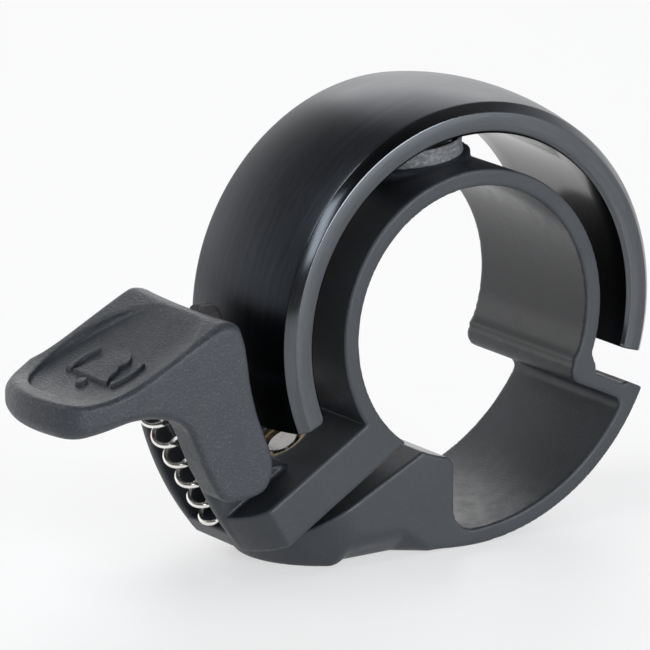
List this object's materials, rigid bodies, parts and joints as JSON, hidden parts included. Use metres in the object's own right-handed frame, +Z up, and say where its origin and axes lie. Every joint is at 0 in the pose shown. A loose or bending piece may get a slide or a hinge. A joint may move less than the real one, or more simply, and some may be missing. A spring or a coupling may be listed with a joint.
{
  "type": "handlebar bell",
  "caption": "Slim ring bell that wraps a round handlebar, with a split clamp bracket, a cable channel and a sprung thumb lever carrying the striker.",
  "frame": {"origin": "centre of the handlebar bore at mid-width", "axes": "+Y along the bar towards the rear face, +Z up through the bell, +X away from the thumb lever"},
  "size_m": [0.0574, 0.0148, 0.037],
  "materials": {
    "bell": "black anodised, brushed round the ring, polished inside",
    "bush": "matte",
    "steel": "bright zinc",
    "black_steel": "black oxide",
    "bracket": "fine moulded texture",
    "brass": "turned",
    "lever": "fine spark texture",
    "striker": "sintered, black oxide",
    "spring": "bright nickel"
  },
  "bodies": {
    "bracket": {"clamp_bracket": "bracket", "bell_ring": "bell", "bell_bush": "bush", "bell_sleeve": "steel", "bell_screw": "black_steel", "thread_insert": "brass", "clamp_screw": "steel", "clamp_washer": "steel", "return_spring": "spring"},
    "lever": {"thumb_lever": "lever", "striker": "striker", "hinge_pin": "steel"}
  },
  "joints": [
    {"name": "lever_hinge", "type": "hinge", "parent": "bracket", "child": "lever", "pos_m": [-0.0204, 0, -0.0088], "axis": [0, -1, 0], "range_deg": [0, 15], "stiffness_Nm_per_rad": 0.05, "springref_deg": -11.46, "deforming": ["return_spring"]}
  ]
}
